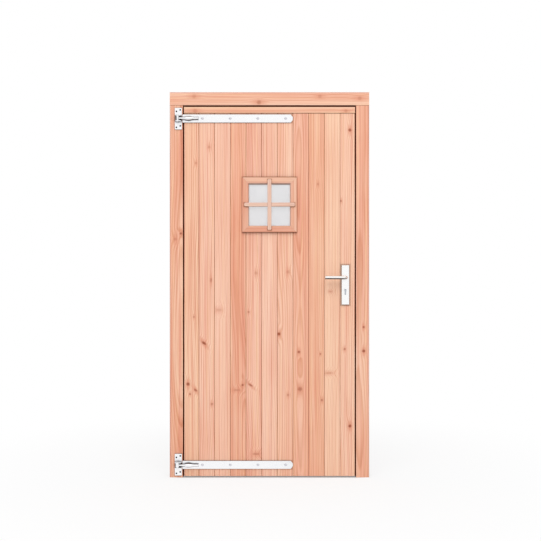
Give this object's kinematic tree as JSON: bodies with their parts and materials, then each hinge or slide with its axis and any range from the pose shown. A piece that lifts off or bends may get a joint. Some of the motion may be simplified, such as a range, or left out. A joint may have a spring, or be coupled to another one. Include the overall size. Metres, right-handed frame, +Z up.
{
  "type": "plank door with frame",
  "caption": "Plank door of planed fir in its frame, hung on long strap hinges, with a small cross-barred window and a lever handle on long plates; it swings outward on pins.",
  "frame": {"origin": "on the hinge jamb's outer side face, at floor level, at mid depth", "axes": "+X from the hinge jamb to the lock jamb, -Y out of the face with the strap hinges, +Z up"},
  "size_m": [1.1, 0.176, 2.125],
  "materials": {
    "fir_boards": "planed, unfinished",
    "fir_frame": "planed, unfinished",
    "fir_window": "planed, unfinished",
    "galvanised_steel": "galvanised",
    "lock_steel": "satin",
    "handle_aluminium": "satin anodised",
    "cylinder_nickel": "nickel plated",
    "window_glass": "satin"
  },
  "bodies": {
    "frame": {"frame_head": "fir_frame", "hinge_jamb": "fir_frame", "lock_jamb": "fir_frame", "head_stop": "fir_frame", "hinge_side_stop": "fir_frame", "lock_side_stop": "fir_frame", "threshold": "fir_frame", "strike_plate": "lock_steel", "upper_jamb_plate": "galvanised_steel", "upper_hinge_pin": "galvanised_steel", "lower_jamb_plate": "galvanised_steel", "lower_hinge_pin": "galvanised_steel"},
    "leaf": {"board_01": "fir_boards", "board_02": "fir_boards", "board_03": "fir_boards", "board_04": "fir_boards", "board_05": "fir_boards", "board_06": "fir_boards", "board_07": "fir_boards", "board_08": "fir_boards", "board_09": "fir_boards", "board_10": "fir_boards", "board_11": "fir_boards", "top_strip": "fir_boards", "hinge_stile": "fir_frame", "lock_stile": "fir_frame", "top_rail": "fir_frame", "lock_rail": "fir_frame", "bottom_rail": "fir_frame", "brace": "fir_frame", "window_outer_casing": "fir_window", "window_inner_casing": "fir_window", "window_upright_bar": "fir_window", "window_level_bar": "fir_window", "window_pane": "window_glass", "upper_strap": "galvanised_steel", "upper_eye_bolt": "galvanised_steel", "lower_strap": "galvanised_steel", "lower_eye_bolt": "galvanised_steel", "lock_case": "lock_steel", "lock_bolts": "lock_steel", "lock_cylinder": "cylinder_nickel", "outer_backplate": "handle_aluminium", "inner_backplate": "handle_aluminium"},
    "handle": {"outer_lever": "handle_aluminium", "inner_lever": "handle_aluminium", "spindle": "lock_steel", "lock_follower": "lock_steel"}
  },
  "joints": [
    {"name": "leaf_swing", "type": "hinge", "parent": "frame", "child": "leaf", "pos_m": [0.044, -0.063, 0], "axis": [0, 0, -1], "range_deg": [0, 170]},
    {"name": "lever_turn", "type": "hinge", "parent": "leaf", "child": "handle", "pos_m": [0.9677, -0.015, 1.103], "axis": [0, -1, 0], "range_deg": [0, 45], "stiffness_Nm_per_rad": 1, "springref_deg": -28.65}
  ]
}
